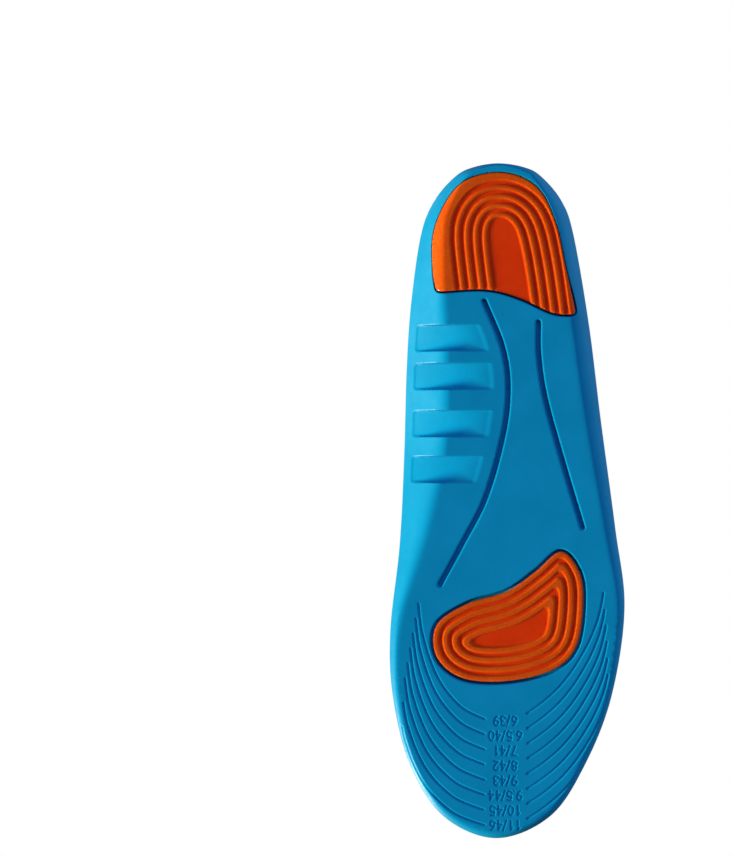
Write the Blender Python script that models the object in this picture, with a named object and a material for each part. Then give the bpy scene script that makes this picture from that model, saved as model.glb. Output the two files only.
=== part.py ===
"""Cushioned insole for the right foot: fabric cover, moulded foam base and two gel pads in pockets.

Frame: +Z up to the foot, +Y to the toe, +X to the little toe. The origin is at the middle of the
plan's box, on the surface that the insole lies on. Sizes are in millimetres until a mesh is made.
"""

import math

import bmesh
import bpy
import numpy as np

OBJECT_NAME = "cushioned_insole"
MM = 0.001

# ------------------------------------------------------------------ driving dimensions, mm
# The plan, anticlockwise from below: heel tip, big-toe side, toe tip, little-toe side.
OUTLINE = (
    (-3.8, -150.0),
    (-14.5, -148.4),
    (-22.8, -144.3),
    (-32.3, -133.3),
    (-38.3, -118.0),
    (-42.7, -87.0),
    (-44.6, -58.0),
    (-45.7, -20.0),
    (-47.8, 20.0),
    (-52.0, 58.0),
    (-50.9, 87.0),
    (-43.4, 117.0),
    (-28.5, 140.2),
    (-5.0, 150.0),
    (19.0, 140.2),
    (34.6, 117.0),
    (46.2, 87.0),
    (52.0, 48.0),
    (47.9, 12.0),
    (41.6, -36.0),
    (36.5, -78.0),
    (29.7, -118.0),
    (24.3, -133.3),
    (15.0, -144.4),
    (7.2, -148.4),
)
TOE_TIP = 13
SPLINE_STEPS = 12

# Along the big-toe side and the little-toe side, each key is (y, value).
# RIM is the rim's height, WALL the plan width of the wall under it, BLEND the curved share of that
# wall, CUP the plan width of the cup's slope over it. FLOOR is the height that the foot stands at.
RIM_MEDIAL = ((-150, 14), (-110, 16.5), (-60, 22.5), (-25, 23.5), (10, 15.5), (45, 7.5), (80, 5), (150, 4.2))
RIM_LATERAL = ((-150, 14), (-110, 13.5), (-60, 11), (-20, 8.5), (20, 6.5), (60, 5.2), (100, 4.6), (150, 4.2))
WALL_MEDIAL = (
    (-150, 1.6), (-148, 2.8), (-141, 6), (-125, 9.5), (-105, 13),
    (-60, 19), (-20, 18.5), (15, 12), (50, 4.5), (80, 3), (150, 3),
)
WALL_LATERAL = (
    (-150, 1.6), (-148, 2.4), (-140, 5), (-110, 7.5),
    (-60, 8), (-20, 6.5), (20, 4.5), (60, 3), (150, 3),
)
BLEND_MEDIAL = ((-150, 0.9), (-125, 0.7), (-100, 0.4), (-60, 0.4), (-20, 0.4), (30, 0.6), (150, 0.9))
BLEND_LATERAL = ((-150, 0.9), (-110, 0.8), (-60, 0.8), (30, 0.9), (150, 0.9))
CUP_MEDIAL = ((-150, 12), (-110, 13), (-75, 18), (-45, 24), (-10, 20), (30, 12), (70, 8), (150, 8))
CUP_LATERAL = ((-150, 12), (-110, 12), (-60, 11), (0, 10), (70, 8), (150, 8))
FLOOR = ((-150, 7.6), (-100, 7.6), (-50, 7), (0, 6), (45, 4.8), (100, 4.2), (150, 4))

SIDE_LAND = 1.4  # height of the upright edge at the rim
RIM_LAND = 1.6  # width of the rim before the cup falls away
CUP_CURVE = 1.7

GAP = 0.25  # clearance between layers
POCKET_GAP = 0.4  # over the film in each pocket
FILM = 0.15  # hot-melt adhesive
BACKING = 0.9
SUEDE = 0.6
COVER_SHARE = 0.965  # the cover's plan, as a share of the way from the spine to the outline

HEEL_PAD_ARCH = (
    (-31.6, -92.4),
    (-33.3, -103.0),
    (-32.2, -121.5),
    (-21.5, -139.8),
    (-3.5, -145.4),
    (12.5, -139.4),
    (21.0, -124.0),
    (25.8, -103.0),
    (30.4, -82.3),
)
HEEL_PAD_FRONT = ((30.4, -82.3), (20.0, -83.0), (5.0, -89.7), (-10.0, -93.4), (-31.6, -92.4))
HEEL_PAD_HUB = (-3.0, -114.0)
HEEL_PAD = 3.2
HEEL_PAD_RISE = 0.85  # the pad's inner face climbs the cup less than its outer face, so the edge is thin

FOREFOOT_PAD_OUTLINE = (
    (23.6, 22.8),
    (31.6, 31.5),
    (33.5, 45.0),
    (30.6, 64.5),
    (20.5, 75.0),
    (0.0, 80.1),
    (-20.0, 78.8),
    (-31.4, 69.5),
    (-31.6, 55.6),
    (-18.0, 46.0),
    (0.0, 40.3),
    (12.5, 31.6),
)
FOREFOOT_PAD_HUB = (5.0, 58.0)
FOREFOOT_PAD = 2.2
PAD_CLEARANCE = 0.4
FOREFOOT_CLEARANCE = 1.2  # an open moat runs round the forefoot pad

GROOVE_MEDIAL = (
    (-11.0, -90.0),
    (-2.2, -68.0),
    (0.3, -50.0),
    (-1.9, -29.0),
    (-9.8, -1.0),
    (-20.5, 20.0),
    (-30.7, 38.7),
)
GROOVE_LATERAL = ((13.7, -79.7), (13.9, -64.0), (16.8, -45.0), (24.4, -17.4), (33.2, 12.0))
GROOVE_RADIUS = 1.2
GROOVE_SINK = 0.2  # the channel's axis runs this far outside the base

SCOOP_STARTS = (-78.0, -61.0, -40.0, -19.7)  # the heel end of each arch scoop
SCOOP_LENGTH = 12.2
SCOOP_INSET = 3.2  # from the outline
SCOOP_CLEARANCE = 6.0  # from the middle of the medial groove
SCOOP_BEND = 0.42  # where it is deepest, as a share of its width
SCOOP_CURVE = 2.15  # its floor falls from the arch's wall to the flat as this power of the way left
SCOOP_SHALLOW = 0.4
SCOOP_SQUARENESS = 0.4  # 1 is a circle, 0 a square

# ------------------------------------------------------------------ mesh resolution
STATIONS = 34  # steps from heel tip to toe tip
HUB_REACH = 0.72
BASE_RINGS = (1.0, COVER_SHARE, 0.89, 0.80, 0.69, 0.55, 0.0)
PAD_RINGS = (1.0, 0.91, 0.82, 0.70, 0.0)
PAD_POINTS = 44
SCOOP_RINGS = (1.0, 0.7, 0.4, 0.0)
SCOOP_POINTS = 20
CUTTER_FLOOR = -4.0


# ------------------------------------------------------------------ curves
def catmull_rom(points, steps, closed):
    """A smooth curve through the points, with this many steps from one to the next."""
    points = np.array(points, float)
    if closed:
        padded = np.vstack([points[-1], points, points[:2]])
    else:
        first = 2 * points[0] - points[1]
        last = 2 * points[-1] - points[-2]
        padded = np.vstack([first, points, last])
    t = np.linspace(0, 1, steps, endpoint=False)[:, None]
    runs = []
    for a, b, c, d in zip(padded, padded[1:], padded[2:], padded[3:]):
        bend = (2 * a - 5 * b + 4 * c - d) * t**2 + (3 * b - 3 * c + d - a) * t**3
        runs.append(0.5 * (2 * b + (c - a) * t + bend))
    if not closed:
        runs.append(points[-1:])
    return np.vstack(runs)


def along(keys, y):
    """A smooth value at y from (y, value) keys."""
    at, value = np.array(keys, float).T
    slope = np.gradient(value, at)
    y = np.clip(y, at[0], at[-1])
    k = np.clip(np.searchsorted(at, y) - 1, 0, len(at) - 2)
    span = at[k + 1] - at[k]
    t = (y - at[k]) / span
    ease = t * t * (3 - 2 * t)
    tangents = slope[k] * t * (1 - t) ** 2 - slope[k + 1] * t * t * (1 - t)
    return value[k] + (value[k + 1] - value[k]) * ease + span * tangents


def evenly(curve, count):
    """This many points, evenly spaced round a closed curve."""
    ring = np.vstack([curve, curve[:1]])
    run = np.concatenate([[0], np.cumsum(np.linalg.norm(np.diff(ring, axis=0), axis=1))])
    at = np.linspace(0, run[-1], count, endpoint=False)
    return np.column_stack([np.interp(at, run, ring[:, 0]), np.interp(at, run, ring[:, 1])])


def grown(ring, by):
    """A closed ring moved outwards by a distance."""
    tangent = np.roll(ring, -1, axis=0) - np.roll(ring, 1, axis=0)
    normal = np.column_stack([tangent[:, 1], -tangent[:, 0]])
    normal /= np.linalg.norm(normal, axis=1)[:, None]
    outwards = np.sign((normal * (ring - ring.mean(axis=0))).sum())
    return ring + outwards * by * normal


# ------------------------------------------------------------------ the insole's two surfaces
EDGE = catmull_rom(OUTLINE, SPLINE_STEPS, closed=True)
ON_MEDIAL_SIDE = np.arange(len(EDGE)) <= TOE_TIP * SPLINE_STEPS


def edge_setting(medial, lateral):
    """A value at each point of the outline, from the keys of its two sides."""
    return np.where(ON_MEDIAL_SIDE, along(medial, EDGE[:, 1]), along(lateral, EDGE[:, 1]))


RIM = edge_setting(RIM_MEDIAL, RIM_LATERAL)
WALL = edge_setting(WALL_MEDIAL, WALL_LATERAL)
BLEND = edge_setting(BLEND_MEDIAL, BLEND_LATERAL)
CUP = edge_setting(CUP_MEDIAL, CUP_LATERAL)


def from_edge(xy, settings):
    """Each plan point's distance to the outline, and the settings at the nearest place on it."""
    start = EDGE
    along_edge = np.roll(EDGE, -1, axis=0) - start
    away = xy[:, None, :] - start
    share = np.clip((away * along_edge).sum(-1) / (along_edge**2).sum(-1), 0, 1)
    distance = np.linalg.norm(away - share[..., None] * along_edge, axis=-1)
    nearest = distance.argmin(axis=1)
    rows = np.arange(len(xy))
    t = share[rows, nearest]
    found = [s[nearest] * (1 - t) + np.roll(s, -1)[nearest] * t for s in settings]
    return distance[rows, nearest], *found


def climbing(share, blend):
    """From 0 at the foot of the wall to 1 at the rim: an arc over the blend's share, then straight."""
    return np.where(share < blend, share**2 / (2 * blend), share - blend / 2) / (1 - blend / 2)


def underside(xy):
    """Height of the base's lower surface: flat in the middle, climbing the wall to the rim."""
    distance, rim, wall, blend = from_edge(xy, (RIM, WALL, BLEND))
    return (rim - SIDE_LAND) * climbing(np.clip(1 - distance / wall, 0, 1), blend)


def topside(xy):
    """Height of the base's upper surface: the floor that the foot stands on, and the cup round it."""
    distance, rim, cup = from_edge(xy, (RIM, CUP))
    floor = along(FLOOR, xy[:, 1])
    climb = np.clip(1 - (distance - RIM_LAND) / cup, 0, 1)
    return floor + (rim - floor) * climb**CUP_CURVE


def slant(surface, xy, step=0.2):
    """How much longer a normal is upright than across, where the surface slopes."""
    east = surface(xy + (step, 0)) - surface(xy - (step, 0))
    north = surface(xy + (0, step)) - surface(xy - (0, step))
    return np.sqrt(1 + (east**2 + north**2) / (2 * step) ** 2)


def above(surface, by):
    """A surface lifted by a thickness measured square to it."""
    return lambda xy: surface(xy) + by * slant(surface, xy)


def level(height):
    return lambda xy: np.full(len(xy), float(height))


def heel_pad_inside(xy):
    """Height of the heel pad's inner face."""
    return HEEL_PAD_RISE * underside(xy) + HEEL_PAD


# ------------------------------------------------------------------ plans
def side_at(y, side):
    """The outline's x at y, on the big-toe side (0) or the little-toe side (1)."""
    turn = TOE_TIP * SPLINE_STEPS
    run = EDGE[: turn + 1] if side == 0 else np.vstack([EDGE[turn:], EDGE[:1]])[::-1]
    return np.interp(y, run[:, 1], run[:, 0])


def insole_plan():
    """The outline at matching stations on both sides, and the spine point that each station fans from."""
    end = EDGE[:, 1].max()
    y = -end * np.cos(np.linspace(0, math.pi, STATIONS + 1))
    hub_y = HUB_REACH * y
    hubs = np.column_stack([(side_at(hub_y, 0) + side_at(hub_y, 1)) / 2, hub_y])
    medial = np.column_stack([side_at(y, 0), y])
    lateral = np.column_stack([side_at(y, 1), y])
    back = slice(-2, 0, -1)
    return np.vstack([medial, lateral[back]]), np.vstack([hubs, hubs[back]])


def heel_pad_plan(clearance=0.0):
    arch = catmull_rom(HEEL_PAD_ARCH, SPLINE_STEPS, closed=False)
    front = catmull_rom(HEEL_PAD_FRONT, SPLINE_STEPS, closed=False)
    ring = evenly(np.vstack([arch[:-1], front[:-1]]), PAD_POINTS)
    return grown(ring, clearance), np.tile(HEEL_PAD_HUB, (PAD_POINTS, 1))


def forefoot_pad_plan(clearance=0.0):
    ring = evenly(catmull_rom(FOREFOOT_PAD_OUTLINE, SPLINE_STEPS, closed=True), PAD_POINTS)
    return grown(ring, clearance), np.tile(FOREFOOT_PAD_HUB, (PAD_POINTS, 1))


# ------------------------------------------------------------------ making objects
def fresh_collection(name):
    collection = bpy.data.collections.new(name)
    bpy.context.scene.collection.children.link(collection)
    return collection


def plain_material(name, colour, roughness):
    material = bpy.data.materials.new(name)
    material.use_nodes = True
    shader = material.node_tree.nodes["Principled BSDF"]
    shader.inputs["Base Color"].default_value = (*colour, 1)
    shader.inputs["Roughness"].default_value = roughness
    shader.inputs["Metallic"].default_value = 0.0
    return material


def as_object(name, mesh, collection, material=None):
    obj = bpy.data.objects.new(name, mesh)
    collection.objects.link(obj)
    if material:
        mesh.materials.append(material)
    return obj


def slab(name, plan, rings, low, high, collection, material=None):
    """A closed solid over a plan, between two heights. Rings run from the outline in to the hubs."""
    outline, hubs = plan
    count = len(outline)
    flat = np.vstack([hubs + share * (outline - hubs) for share in rings])
    heights = np.concatenate([low(flat), high(flat)])
    points = np.column_stack([np.vstack([flat, flat]), heights]) * MM
    faces = []
    for i in range(count):
        j = (i + 1) % count
        for ring in range(len(rings) - 1):
            outer, inner = ring * count, (ring + 1) * count
            for layer in (0, len(flat)):
                a, b = layer + outer + i, layer + outer + j
                c, d = layer + inner + j, layer + inner + i
                faces += [(a, b, c), (a, c, d)]
        faces += [(i, j, len(flat) + j), (i, len(flat) + j, len(flat) + i)]
    mesh = bpy.data.meshes.new(name)
    mesh.from_pydata(points.tolist(), [], faces)
    close_up(mesh)
    return as_object(name, mesh, collection, material)


def close_up(mesh):
    """Points that meet at a hub made one, and every face turned outwards."""
    work = bmesh.new()
    work.from_mesh(mesh)
    bmesh.ops.remove_doubles(work, verts=work.verts, dist=1e-6)
    bmesh.ops.recalc_face_normals(work, faces=work.faces)
    work.to_mesh(mesh)
    work.free()
    mesh.shade_smooth()
    mesh.set_sharp_from_angle(angle=math.radians(40))


def groove_cutter(name, points, collection):
    """A round-ended channel cutter that follows a smooth route along the underside."""
    route = catmull_rom(points, 3, closed=False)
    curve = bpy.data.curves.new(name, "CURVE")
    curve.dimensions = "3D"
    curve.bevel_depth = GROOVE_RADIUS * MM
    curve.bevel_resolution = 2
    curve.use_fill_caps = True
    spline = curve.splines.new("POLY")
    spline.points.add(len(route) - 1)
    for point, (x, y) in zip(spline.points, route * MM):
        point.co = (x, y, -GROOVE_SINK * MM, 1)
    guide = as_object(name + "_route", curve, collection)
    mesh = bpy.data.meshes.new_from_object(guide.evaluated_get(bpy.context.evaluated_depsgraph_get()))
    bpy.data.objects.remove(guide)
    close_up(mesh)
    return as_object(name, mesh, collection)


def scoop_sides(y):
    """Where a scoop ends at y, by the arch's edge and by the medial groove."""
    groove = catmull_rom(GROOVE_MEDIAL, SPLINE_STEPS, closed=False)
    return side_at(y, 0) + SCOOP_INSET, np.interp(y, groove[:, 1], groove[:, 0]) - SCOOP_CLEARANCE


def scoop_plan(start):
    """A rounded four-sided plan, fanning from the line where the scoop is deepest."""
    angle = np.linspace(0, 2 * math.pi, SCOOP_POINTS, endpoint=False)
    across, lengthwise = (rounded(np.cos(angle)) + 1) / 2, (rounded(np.sin(angle)) + 1) / 2
    y = start + SCOOP_LENGTH * lengthwise
    left, right = scoop_sides(y)
    ring = np.column_stack([left + across * (right - left), y])
    middle = start + SCOOP_LENGTH / 2
    left, right = scoop_sides(np.array([middle]))
    hub = (left[0] + SCOOP_BEND * (right[0] - left[0]), middle)
    return ring, np.tile(hub, (SCOOP_POINTS, 1))


def scoop_floor(xy):
    """Height of a scoop's floor: one sweep from high on the arch's wall down to the flat."""
    left, right = scoop_sides(xy[:, 1])
    share = np.clip((xy[:, 0] - left) / (right - left), 0, 1)
    wall_end = underside(np.column_stack([left, xy[:, 1]]))
    return SCOOP_SHALLOW + np.maximum(underside(xy), wall_end * (1 - share) ** SCOOP_CURVE)


def rounded(wave):
    """A sine or cosine pushed out from a circle towards a square."""
    return np.sign(wave) * np.abs(wave) ** SCOOP_SQUARENESS


def cut(target, cutter):
    cutter.hide_render = True
    cutter.display_type = "WIRE"
    modifier = target.modifiers.new(cutter.name, "BOOLEAN")
    modifier.operation = "DIFFERENCE"
    modifier.solver = "EXACT"
    modifier.object = cutter


# ------------------------------------------------------------------ sub-parts
def foam_base(parts, cutters, material):
    """The moulded base, with a pocket for each pad, two flex grooves and four arch scoops."""
    base = slab("foam_base", insole_plan(), BASE_RINGS, underside, topside, parts, material)
    heel_ceiling = above(heel_pad_inside, GAP + FILM + POCKET_GAP)
    forefoot_ceiling = level(FOREFOOT_PAD + GAP + FILM + POCKET_GAP)
    hollows = [
        ("heel_pocket", heel_pad_plan(PAD_CLEARANCE), PAD_RINGS, heel_ceiling),
        ("forefoot_pocket", forefoot_pad_plan(FOREFOOT_CLEARANCE), PAD_RINGS, forefoot_ceiling),
    ]
    for number, start in enumerate(SCOOP_STARTS, 1):
        hollows.append((f"scoop_{number}", scoop_plan(start), SCOOP_RINGS, scoop_floor))
    for name, plan, rings, ceiling in hollows:
        cut(base, slab(name, plan, rings, level(CUTTER_FLOOR), ceiling, cutters))
    cut(base, groove_cutter("medial_groove", GROOVE_MEDIAL, cutters))
    cut(base, groove_cutter("lateral_groove", GROOVE_LATERAL, cutters))


def cover_layers(parts, materials):
    """Adhesive film, cream backing and suede face, one above the other over the base."""
    layers = (("cover_adhesive", FILM), ("cover_backing", BACKING), ("top_cover", SUEDE))
    height = GAP
    for name, thickness in layers:
        low, high = above(topside, height), above(topside, height + thickness)
        slab(name, insole_plan(), BASE_RINGS[1:], low, high, parts, materials[name])
        height += thickness + GAP


def heel_pad(parts, materials):
    """The gel pad under the heel, flush with the base, and the film that bonds it in its pocket."""
    plan = heel_pad_plan()
    slab("heel_gel_pad", plan, PAD_RINGS, underside, heel_pad_inside, parts, materials["gel"])
    low, high = above(heel_pad_inside, GAP), above(heel_pad_inside, GAP + FILM)
    slab("heel_pad_adhesive", plan, PAD_RINGS, low, high, parts, materials["adhesive"])


def forefoot_pad(parts, materials):
    """The gel pad under the ball of the foot, and its film."""
    plan = forefoot_pad_plan()
    top = FOREFOOT_PAD
    slab("forefoot_gel_pad", plan, PAD_RINGS, level(0), level(top), parts, materials["gel"])
    low, high = level(top + GAP), level(top + GAP + FILM)
    slab("forefoot_pad_adhesive", plan, PAD_RINGS, low, high, parts, materials["adhesive"])


def main():
    for obj in list(bpy.data.objects):
        bpy.data.objects.remove(obj)
    parts = fresh_collection(OBJECT_NAME)
    cutters = fresh_collection("cutters")
    adhesive = plain_material("hot_melt_adhesive", (0.82, 0.80, 0.72), 0.4)
    materials = {
        "adhesive": adhesive,
        "cover_adhesive": adhesive,
        "gel": plain_material("orange_gel", (0.60, 0.05, 0.005), 0.2),
        "cover_backing": plain_material("cream_backing", (0.80, 0.70, 0.52), 0.9),
        "top_cover": plain_material("beige_microsuede", (0.73, 0.38, 0.23), 0.95),
    }
    foam_base(parts, cutters, plain_material("blue_foam", (0.005, 0.21, 0.50), 0.45))
    cover_layers(parts, materials)
    heel_pad(parts, materials)
    forefoot_pad(parts, materials)


main()
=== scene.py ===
"""Visual model of a cushioned insole for the right foot, and the stage that it is rendered on.

Frame: +Z up to the foot, +Y to the toe, +X to the little toe. Shapes are in millimetres until a mesh
is made. Every piece is a closed solid between two heights over one plan: the plan's points are
placed where the shape needs them, and a function of the plan gives each point its height.
"""

import math

import bpy
import numpy as np
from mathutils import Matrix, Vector
from mathutils.geometry import delaunay_2d_cdt


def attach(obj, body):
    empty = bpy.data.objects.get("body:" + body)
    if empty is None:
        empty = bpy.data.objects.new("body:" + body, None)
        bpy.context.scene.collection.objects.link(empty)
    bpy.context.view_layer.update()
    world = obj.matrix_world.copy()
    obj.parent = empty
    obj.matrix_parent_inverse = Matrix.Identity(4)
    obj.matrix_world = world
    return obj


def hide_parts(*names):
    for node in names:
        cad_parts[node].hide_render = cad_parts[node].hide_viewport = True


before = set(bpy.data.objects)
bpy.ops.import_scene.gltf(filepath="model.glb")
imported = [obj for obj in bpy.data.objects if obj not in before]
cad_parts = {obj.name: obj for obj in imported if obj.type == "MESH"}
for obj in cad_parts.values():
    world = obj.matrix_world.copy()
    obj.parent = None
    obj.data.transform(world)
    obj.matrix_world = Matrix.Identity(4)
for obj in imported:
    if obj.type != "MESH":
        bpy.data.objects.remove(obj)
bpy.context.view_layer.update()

MM = 0.001

# ------------------------------------------------------------------ the insole's plan and heights, mm
# The plan: heel tip, big-toe side, toe tip, little-toe side.
OUTLINE = (
    (-3.8, -150.0),
    (-14.5, -148.4),
    (-22.8, -144.3),
    (-32.3, -133.3),
    (-38.3, -118.0),
    (-42.7, -87.0),
    (-44.6, -58.0),
    (-45.7, -20.0),
    (-47.8, 20.0),
    (-52.0, 58.0),
    (-50.9, 87.0),
    (-43.4, 117.0),
    (-28.5, 140.2),
    (-5.0, 150.0),
    (19.0, 140.2),
    (34.6, 117.0),
    (46.2, 87.0),
    (52.0, 48.0),
    (47.9, 12.0),
    (41.6, -36.0),
    (36.5, -78.0),
    (29.7, -118.0),
    (24.3, -133.3),
    (15.0, -144.4),
    (7.2, -148.4),
)
TOE_TIP = 13
SPLINE_STEPS = 12
FINE_STEPS = 36

# Along the big-toe side and the little-toe side, each key is (y, value).
# RIM is the rim's height, WALL the plan width of the wall under it, BLEND the curved share of that
# wall, CUP the plan width of the cup's slope over it. FLOOR is the height that the foot stands at.
RIM_MEDIAL = ((-150, 14), (-110, 16.5), (-60, 22.5), (-25, 23.5), (10, 15.5), (45, 7.5), (80, 5), (150, 4.2))
RIM_LATERAL = ((-150, 14), (-110, 13.5), (-60, 11), (-20, 8.5), (20, 6.5), (60, 5.2), (100, 4.6), (150, 4.2))
WALL_MEDIAL = (
    (-150, 1.6), (-148, 2.8), (-141, 6), (-125, 9.5), (-105, 13),
    (-60, 19), (-20, 18.5), (15, 12), (50, 4.5), (80, 3), (150, 3),
)
WALL_LATERAL = (
    (-150, 1.6), (-148, 2.4), (-140, 5), (-110, 7.5),
    (-60, 8), (-20, 6.5), (20, 4.5), (60, 3), (150, 3),
)
BLEND_MEDIAL = ((-150, 0.9), (-125, 0.7), (-100, 0.4), (-60, 0.4), (-20, 0.4), (30, 0.6), (150, 0.9))
BLEND_LATERAL = ((-150, 0.9), (-110, 0.8), (-60, 0.8), (30, 0.9), (150, 0.9))
CUP_MEDIAL = ((-150, 12), (-110, 13), (-75, 18), (-45, 24), (-10, 20), (30, 12), (70, 8), (150, 8))
CUP_LATERAL = ((-150, 12), (-110, 12), (-60, 11), (0, 10), (70, 8), (150, 8))
FLOOR = ((-150, 7.6), (-100, 7.6), (-50, 7), (0, 6), (45, 4.8), (100, 4.2), (150, 4))

SIDE_LAND = 1.4  # height of the upright edge at the rim
RIM_LAND = 1.6  # width of the rim before the cup falls away
CUP_CURVE = 1.7
HUB_REACH = 0.72  # the spine's length, as a share of the insole's

BACKING_SHARE = 0.975  # the backing's plan, as a share of the way from the spine to the outline
SUEDE_SHARE = 0.966
BACKING = (0.43, 1.58)  # lower and upper face, above the foam
SUEDE = (1.60, 2.40)
FOAM_LIFT = 0.21  # how far the foam under the cover swells up to the adhesive film
COVERED_FROM = 1.9  # from the outline

# ------------------------------------------------------------------ the gel pads, mm
HEEL_PAD_ARCH = (
    (-31.6, -92.4),
    (-33.3, -103.0),
    (-32.2, -121.5),
    (-21.5, -139.8),
    (-3.5, -145.4),
    (12.5, -139.4),
    (21.0, -124.0),
    (25.8, -103.0),
    (30.4, -82.3),
)
HEEL_PAD_FRONT = ((30.4, -82.3), (20.0, -83.0), (5.0, -89.7), (-10.0, -93.4), (-31.6, -92.4))
HEEL_WINDOW = (
    (-4.0, -80.0),
    (-5.8, -95.2),
    (-7.4, -108.0),
    (-8.1, -116.0),
    (-7.7, -120.6),
    (-5.7, -123.7),
    (-2.1, -124.3),
    (1.3, -122.0),
    (3.6, -117.5),
    (5.3, -111.0),
    (7.2, -101.0),
    (8.7, -91.0),
    (10.5, -78.0),
)
HEEL_FRONT_Y = -95.0
HEEL_PAD = 3.2
HEEL_PAD_RISE = 0.85
HEEL_PITCH = 4.07
HEEL_CREST = 0.95  # half of a ridge's width, half way down its flank
HEEL_RIDGES = 4

FOREFOOT_PAD_OUTLINE = (
    (23.6, 22.8),
    (31.6, 31.5),
    (33.5, 45.0),
    (30.6, 64.5),
    (20.5, 75.0),
    (0.0, 80.1),
    (-20.0, 78.8),
    (-31.4, 69.5),
    (-31.6, 55.6),
    (-18.0, 46.0),
    (0.0, 40.3),
    (12.5, 31.6),
)
FOREFOOT_PAD = 2.2
FOREFOOT_PITCH = 4.2
FOREFOOT_CREST = 1.2
FOREFOOT_RIDGES = 4
CORNER_BLUR = 1.6  # radius of the circle over which the distance to the forefoot outline is averaged

RIDGE_HEIGHT = 0.64
FLANK = 0.9  # plan width of a ridge's sloping side
SUNKEN = 0.6  # the share of a ridge's height below which the gel is the satin one: rougher, and darker and redder as painted shade in the troughs and window
PAD_EDGE = 0.7  # radius round a pad's lower edge
PAD_CLEARANCE = 0.25
FRONT_CLEARANCE = 0.9  # along the heel pad's front edge
FOREFOOT_CLEARANCE = 1.25
POCKET_SPARE = 0.6  # over a pad's inner face
HEEL_LIP = 0.45  # radius of the foam's edge round the heel pocket
FOREFOOT_LIP = 0.6
POCKET_WALL = 0.12

# ------------------------------------------------------------------ what is moulded into the foam, mm
GROOVE_MEDIAL = (
    (-10.3, -88.2),
    (-2.2, -68.0),
    (0.3, -50.0),
    (-1.9, -29.0),
    (-9.8, -1.0),
    (-20.5, 20.0),
    (-29.9, 37.3),
)
GROOVE_LATERAL = ((13.7, -78.9), (13.9, -64.0), (16.8, -45.0), (24.4, -17.4), (33.2, 12.0))
GROOVE_HALF = 1.1
GROOVE_FLOOR = 0.6  # half the width of its flat bottom
GROOVE_DEPTH = 2.5
GROOVE_LIP = 0.65

SCOOP_STARTS = (-78.0, -61.0, -40.0, -19.7)  # the heel end of each arch scoop
SCOOP_LENGTH = 12.2
SCOOP_INSET = 3.2  # from the outline
SCOOP_CLEARANCE = 6.0  # from the middle of the medial groove
SCOOP_CORNER = 1.6
SCOOP_CURVE = 1.85  # its floor falls from the arch's wall to the flat as this power of the way left
SCOOP_SHALLOW = 0.35
SCOOP_FADE = 2.6  # where it runs out on the flat
SCOOP_WALL = 0.72  # plan width of its walls
SCOOP_TOE_WALL = (1.2, 5.8)  # the toe end's, by the rim and by the flat, and what its middle adds
SCOOP_TOE_BOWL = 2.4  # 1 is a straight slope, more is a bowl that steepens at its end

SIZES = ("6/39", "6.5/40", "7/41", "8/42", "9/43", "9.5/44", "10/45", "11/46")
SIZE_PITCH = 6.62
LAST_NUMERAL = (-1.3, 144.1)  # the middle of the largest size's numerals
NUMERAL_HEIGHT = 4.0
NUMERAL_HALF = 0.55
NUMERAL_FLOOR = 0.08  # half the width of a stroke's flat bottom
NUMERAL_DEPTH = 0.36
ADVANCES = {".": 0.30, "/": 0.46}
ADVANCE = 0.78
# The largest size's trim line on each side. Smaller sizes repeat it, moved to the heel and drawn in.
TRIM_MEDIAL = (
    (-48.3, 88.0),
    (-46.4, 102.0),
    (-44.0, 110.5),
    (-41.5, 117.0),
    (-37.5, 124.7),
    (-32.0, 131.6),
    (-24.2, 138.2),
    (-15.6, 142.0),
    (-6.0, 145.0),
)
TRIM_LATERAL = (
    (45.4, 86.0),
    (44.3, 92.5),
    (42.3, 100.0),
    (38.9, 108.0),
    (35.0, 115.0),
    (30.0, 122.5),
    (24.0, 129.5),
    (17.5, 135.2),
    (10.9, 139.8),
    (5.0, 143.0),
)
TRIM_FIRST_Y = 91.5  # where the lines begin on the largest size's curve
TRIM_SHORTER = 4.1  # medially, the second largest size's line begins this much later, the largest's twice
TRIM_LONGER = 0.6  # laterally, each smaller size's line begins this much earlier
TRIM_STOPS = (10.0, 8.6)  # the lines end this far from x = 0, medially and laterally
TRIM_HALF = 0.76
TRIM_DEPTH = 0.42

RIM_LOWER_RADIUS = 0.35
RIM_UPPER_RADIUS = 0.3
CHUNK = 4000
THINNEST = 0.08  # plan points closer than this are one
# Rows of plan points beside the middle of each groove and trim line, closest on their flanks.
GROOVE_ROWS = (0.3, 0.6, 0.72, 0.85, 0.98, 1.1, 1.22, 1.36, 1.54, 1.75, 2.2)
TRIM_ROWS = (0.19, 0.38, 0.57, 0.77, 1.05)


# ------------------------------------------------------------------ curves
def catmull_rom(points, steps, closed):
    """A smooth curve through the points, with this many steps from one to the next."""
    points = np.array(points, float)
    if closed:
        padded = np.vstack([points[-1], points, points[:2]])
    else:
        first = 2 * points[0] - points[1]
        last = 2 * points[-1] - points[-2]
        padded = np.vstack([first, points, last])
    t = np.linspace(0, 1, steps, endpoint=False)[:, None]
    runs = []
    for a, b, c, d in zip(padded, padded[1:], padded[2:], padded[3:]):
        bend = (2 * a - 5 * b + 4 * c - d) * t**2 + (3 * b - 3 * c + d - a) * t**3
        runs.append(0.5 * (2 * b + (c - a) * t + bend))
    if not closed:
        runs.append(points[-1:])
    return np.vstack(runs)


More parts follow.
